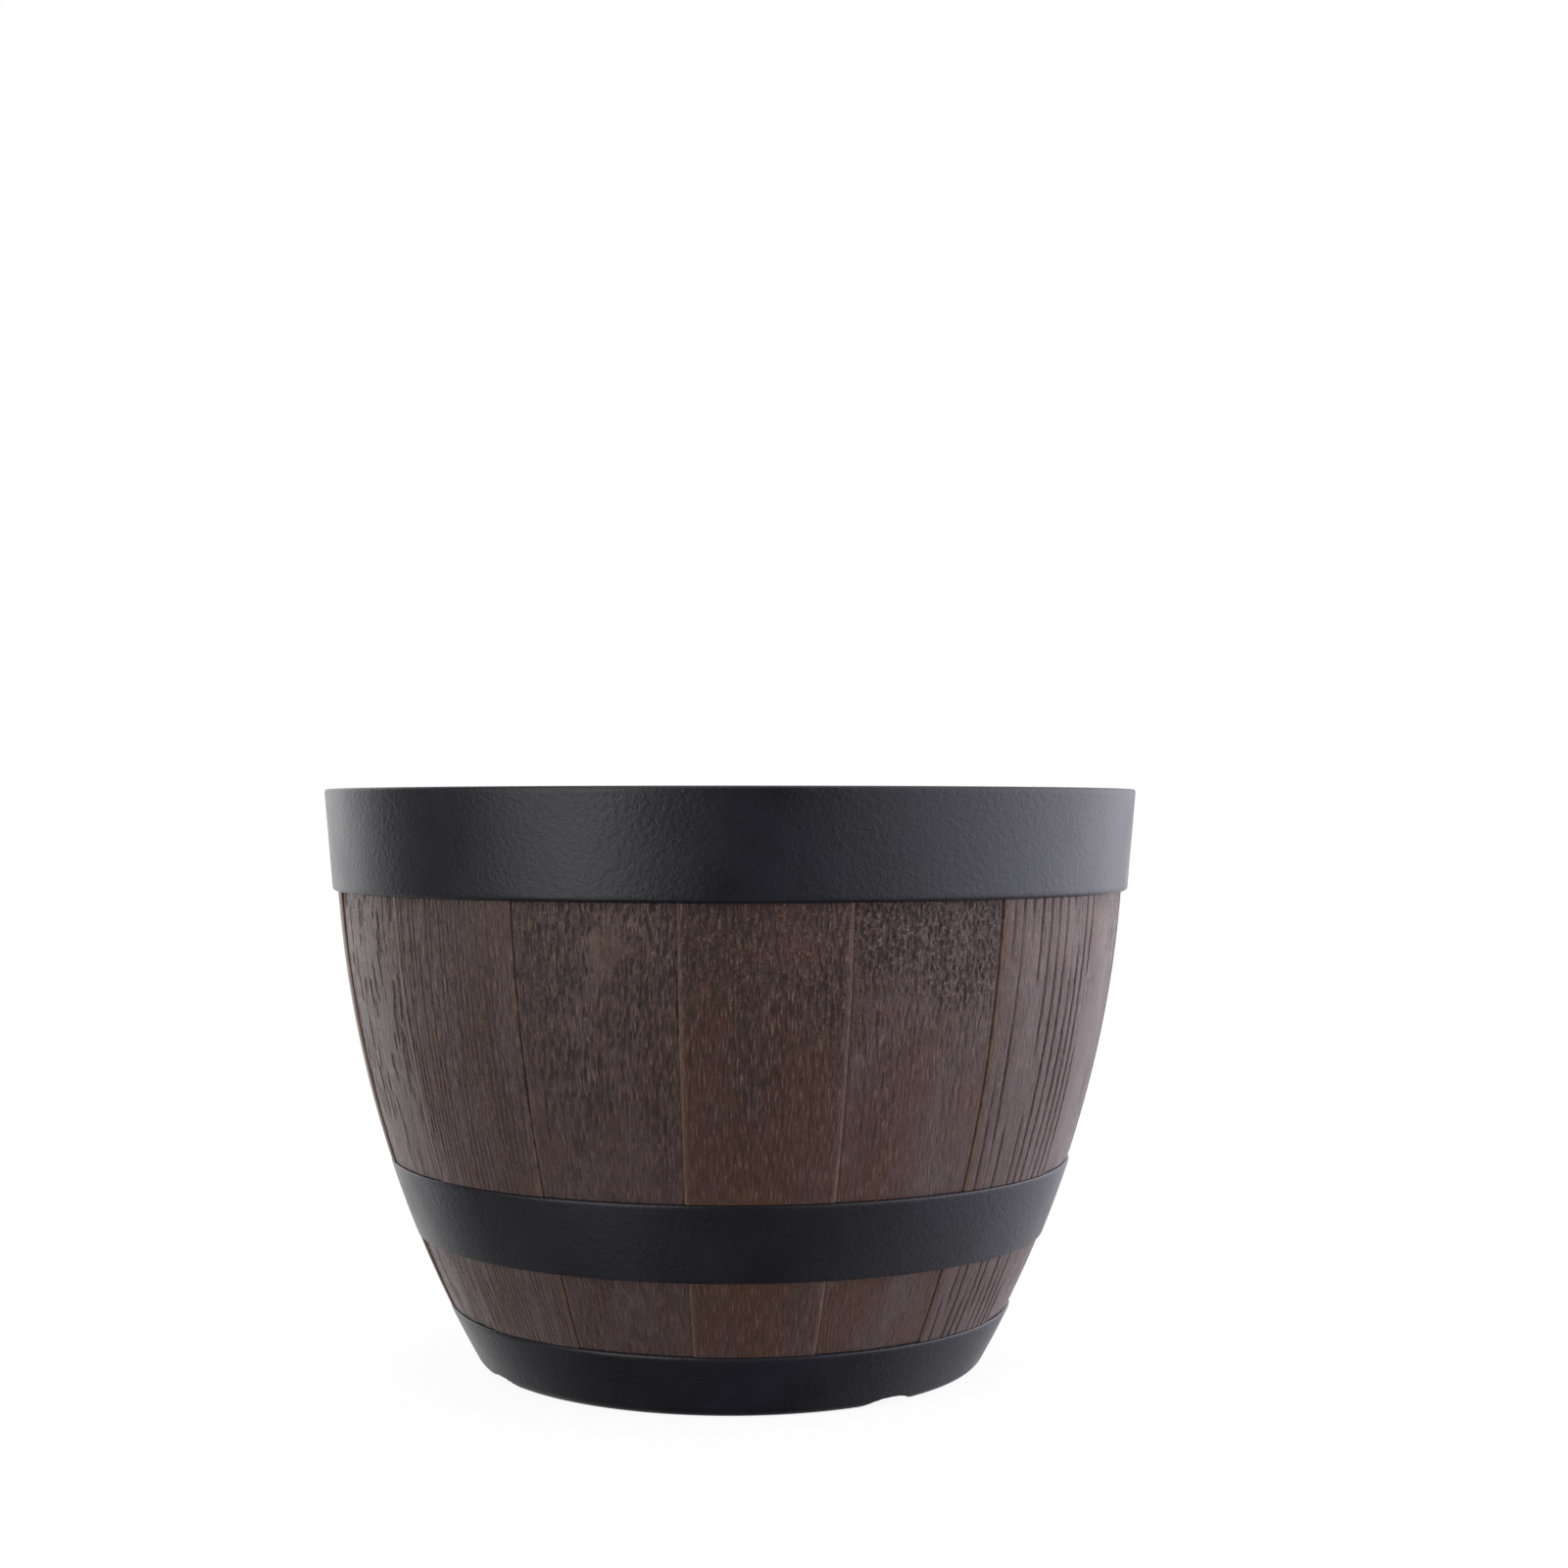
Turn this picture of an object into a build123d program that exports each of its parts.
from build123d import *
import math
import os

# Barrel planter: a moulded pot clad in curved staves and held by a foot band, a hoop and a rim band.
# Millimetres, +Z up, origin at the centre of the standing face, front towards -Y.
# Angles are in degrees and run from the front towards +X.

# Whole planter
height = 250.0           # ground to the top of the rim
rim_radius = 177.5       # outside of the rim band at its top
rim_overhang = 5.3       # from there in to the face of the recessed staves, where they stand upright
foot_radius = 108.1      # that face carried down to the ground
upright_drop = 5.0       # top of the rim down to where the staves stand upright
clearance = 0.2          # between curved faces that nest in each other

# Staves
stave_count = 16
stave_thickness = 3.0    # of a recessed stave
stave_step = 0.9         # every other stave stands out by this much
stave_gap = 0.3          # between two neighbours
stave_edge = 0.5         # easing of the long outside edges
first_seam = -6.7        # left edge of the first stave
stave_tuck = 21.5        # stave tops end this far below the top of the rim

# Bands
hoop_stand = 0.3         # hoop and foot band over the proud staves
hoop_rebate = 1.0        # their rebates, below the recessed stave face
hoop_low = 59.0
hoop_width = 32.0
hoop_bevel = 0.8
rim_width = 43.5
rim_stand = 2.2          # lower edge of the rim band over the proud staves
rim_bevel = 1.4
lip_thickness = 3.0
lip_bevel = 1.0

# Foot band
foot_band_height = 27.2
foot_round = 8.0         # outside corner at the ground
seat_height = 6.5        # ledge that carries the staves and the pot
ledge_thickness = 2.5
ledge_inset = 13.5       # inner edge of the ledge, in from the foot's outside corner
standing_depth = 10.0    # inner side of the standing ring, in from the same corner
notch_angles = (36.1, -60.5)   # every notch has another one straight across from it
notch_width = 28.0
notch_rise = 3.5

# Pot
pot_wall = 2.2
pot_floor = 3.0
floor_height = 12.5      # inside face of the floor
corner_round = 6.0       # inside, between floor and wall
rib_count = 6
rib_width = 2.0
rib_depth = 2.0
hub_radius = 14.0        # ring under the floor where the ribs meet
drain_count = 6
drain_radius = 5.0
drain_circle = 65.0      # radius of the circle of drain holes
centre_drain_radius = 6.0

# The stave face is an arc, upright near the rim and leaning in towards the foot
mouth_radius = rim_radius - rim_overhang
face_height = height - upright_drop
face_lean = mouth_radius - foot_radius
face_arc = (face_lean**2 + face_height**2) / (2 * face_lean)

stave_top = height - stave_tuck
rim_low = height - rim_width
pot_top = height - lip_thickness
hoop_top = hoop_low + hoop_width
stave_pitch = 360 / stave_count
cut_room = 5.0           # how far a cutter runs past the solid that it cuts

# Faces as offsets from the recessed stave face, outwards positive
hoop_outside = stave_step + hoop_stand
hoop_inside = clearance - hoop_rebate
rim_inside = stave_step + clearance
pot_outside = -stave_thickness - clearance
pot_inside = pot_outside - pot_wall
neck_outside = rim_inside - clearance
neck_inside = neck_outside - pot_wall


def face_radius(z, offset=0.0):
    reach = math.sqrt((face_arc + offset) ** 2 - (face_height - z) ** 2)
    return mouth_radius - face_arc + reach


def face_point(z, offset):
    return (face_radius(z, offset), z)


def face_curve(z_start, z_end, offset):
    z_middle = (z_start + z_end) / 2
    return ThreePointArc(
        face_point(z_start, offset), face_point(z_middle, offset), face_point(z_end, offset)
    )


def joined(*pieces):
    # Closed profile from points and curves, in order, with a line wherever two of them stand apart
    edges = []
    for piece, following in zip(pieces, pieces[1:] + pieces[:1]):
        end = Vector(piece) if isinstance(piece, tuple) else piece @ 1
        start = Vector(following) if isinstance(following, tuple) else following @ 0
        if not isinstance(piece, tuple):
            edges.append(piece)
        if (start - end).length > 1e-6:
            edges.append(Line(end, start))
    return make_face(edges)


def rounded(profile, corner, radius):
    return fillet(profile.vertices().sort_by_distance(corner)[0], radius)


def bevelled(profile, corner, length):
    return chamfer(profile.vertices().sort_by_distance(corner)[0], length)


def turned(profile, sweep=360.0):
    return revolve(Plane.XZ * profile, axis=Axis.Z, revolution_arc=sweep)


def at_angle(degrees):
    return Rot(0, 0, degrees - 90)


def band_rebate(z_low, z_high):
    outside = stave_step + cut_room
    return turned(joined(face_curve(z_low, z_high, outside), face_curve(z_high, z_low, -hoop_rebate)))


def make_stave(outside):
    profile = joined(
        face_curve(seat_height, stave_top, outside),
        face_curve(stave_top, seat_height, -stave_thickness),
    )
    gap_angle = math.degrees(stave_gap / mouth_radius)
    blank = Rot(0, 0, gap_angle / 2) * turned(profile, stave_pitch - gap_angle)
    long_edges = [
        edge
        for edge in blank.edges().filter_by(GeomType.CIRCLE)
        if abs(edge.radius - face_arc - outside) < 0.01
    ]
    stave = chamfer(long_edges, stave_edge)
    stave -= band_rebate(seat_height - cut_room, foot_band_height + clearance)
    stave -= band_rebate(hoop_low, hoop_top + clearance)
    return stave


def make_pot():
    shoulder = stave_top + clearance
    jog = neck_inside - pot_inside
    floor_under = floor_height - pot_floor
    profile = joined(
        face_curve(seat_height, shoulder, pot_outside),
        face_curve(shoulder, pot_top, neck_outside),
        face_curve(pot_top, shoulder + pot_wall + jog, neck_inside),
        face_curve(shoulder + pot_wall, floor_height, pot_inside),
        (0, floor_height),
        (0, floor_under),
        face_curve(floor_under, seat_height, pot_inside),
    )
    pot = turned(rounded(profile, face_point(floor_height, pot_inside), corner_round))

    foot_wall = (face_radius(floor_under, pot_inside) + face_radius(floor_under, pot_outside)) / 2
    rib_low = floor_under - rib_depth
    rib_box = Box(
        foot_wall - hub_radius, rib_width, rib_depth, align=(Align.MIN, Align.CENTER, Align.MIN)
    )
    rib_end = Pos(0, 0, rib_low) * Cylinder(
        face_radius(rib_low, pot_inside + pot_wall / 2), rib_depth,
        align=(Align.CENTER, Align.CENTER, Align.MIN),
    )
    hub = Pos(0, 0, rib_low) * (
        Cylinder(hub_radius + rib_width, rib_depth, align=(Align.CENTER, Align.CENTER, Align.MIN))
        - Cylinder(hub_radius, rib_depth, align=(Align.CENTER, Align.CENTER, Align.MIN))
    )
    pot += hub
    drain = Cylinder(drain_radius, 4 * pot_floor)
    for n in range(rib_count):
        angle = (n + 0.5) * 360 / rib_count
        pot += at_angle(angle) * Pos(hub_radius, 0, rib_low) * rib_box & rib_end
    for n in range(drain_count):
        pot -= at_angle(n * 360 / drain_count) * Pos(drain_circle, 0, floor_under) * drain
    return pot - Pos(0, 0, floor_under) * Cylinder(centre_drain_radius, 4 * pot_floor)


def make_rim_band():
    lip_inside = face_radius(pot_top, neck_inside)
    profile = joined(
        (lip_inside, pot_top),
        (lip_inside, height),
        (rim_radius, height),
        face_point(rim_low, stave_step + rim_stand),
        face_curve(rim_low, pot_top, rim_inside),
    )
    profile = bevelled(profile, (lip_inside, height), lip_bevel)
    profile = bevelled(profile, (rim_radius, height), lip_bevel)
    return turned(bevelled(profile, face_point(rim_low, stave_step + rim_stand), rim_bevel))


def make_hoop():
    profile = joined(
        face_curve(hoop_low, hoop_top, hoop_outside),
        face_curve(hoop_top, hoop_low, hoop_inside),
    )
    profile = bevelled(profile, face_point(hoop_top, hoop_outside), hoop_bevel)
    return turned(bevelled(profile, face_point(hoop_low, hoop_outside), hoop_bevel / 2))


def make_foot_band():
    corner = face_radius(0, hoop_outside)
    ledge_under = seat_height - ledge_thickness
    profile = joined(
        (corner - ledge_inset, ledge_under),
        (corner - standing_depth, ledge_under),
        (corner - standing_depth, 0),
        face_curve(0, foot_band_height, hoop_outside),
        face_curve(foot_band_height, seat_height, hoop_inside),
        (corner - ledge_inset, seat_height),
    )
    profile = rounded(profile, (corner, 0), foot_round)
    band = turned(bevelled(profile, face_point(foot_band_height, hoop_outside), hoop_bevel))

    arch_radius = (notch_width**2 / 4 + notch_rise**2) / (2 * notch_rise)
    notch = Pos(corner, 0, notch_rise - arch_radius) * Rot(0, 90, 0) * Cylinder(
        arch_radius, 2 * standing_depth + 2
    )
    for angle in notch_angles:
        band -= at_angle(angle) * notch
        band -= at_angle(angle + 180) * notch
    return band


parts = {
    "inner_pot": make_pot(),
    "rim_band": make_rim_band(),
    "middle_band": make_hoop(),
    "base_band": make_foot_band(),
}
proud_stave = make_stave(stave_step)
recessed_stave = make_stave(0.0)
for n in range(stave_count):
    blank = proud_stave if n % 2 == 0 else recessed_stave
    parts[f"stave_{n + 1:02d}"] = at_angle(first_seam + n * stave_pitch) * blank

os.makedirs("parts", exist_ok=True)
for name, part in parts.items():
    export_step(part, f"parts/{name}.step")
    print(name, round(part.volume / 1000, 1), "cm3")
